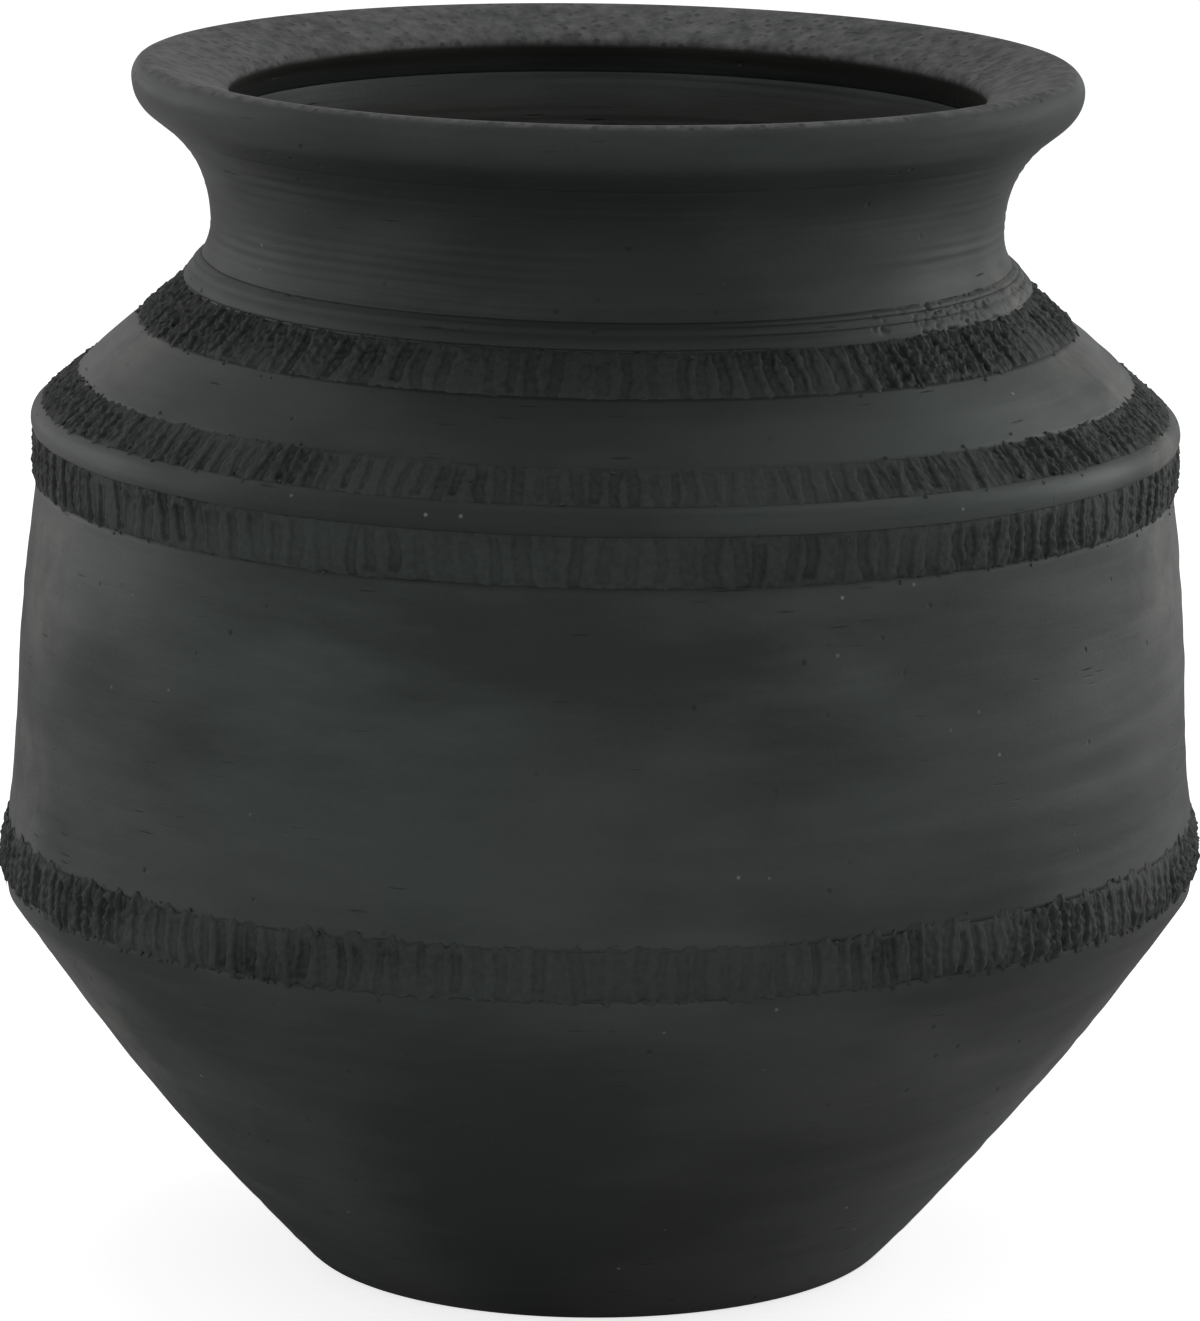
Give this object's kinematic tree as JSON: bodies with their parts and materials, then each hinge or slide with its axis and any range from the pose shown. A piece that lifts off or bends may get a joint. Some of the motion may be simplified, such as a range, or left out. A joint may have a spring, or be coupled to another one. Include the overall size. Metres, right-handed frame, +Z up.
{
  "type": "black clay pot",
  "caption": "Round-bellied black clay pot with a small flat foot, a sharp keel, a sloping shoulder, a flared neck with a rolled lip, and rough combed bands.",
  "frame": {"origin": "middle of the flat face that the pot rests on", "axes": "+Z up along the turning axis, towards the mouth; X and Y are alike, and -Y is the front"},
  "size_m": [0.3046, 0.3046, 0.305],
  "materials": {
    "burnished_clay": "burnished, satin",
    "combed_clay": "rough, matt"
  },
  "bodies": {
    "root": {"foot_disc": "burnished_clay", "lower_wall": "burnished_clay", "belly_wall": "burnished_clay", "shoulder_wall": "burnished_clay", "neck_wall": "burnished_clay", "lip_roll": "burnished_clay", "neck_collar": "burnished_clay", "shoulder_ridge": "burnished_clay", "neck_band": "combed_clay", "shoulder_band": "combed_clay", "edge_band": "combed_clay", "keel_band": "combed_clay"}
  },
  "joints": []
}
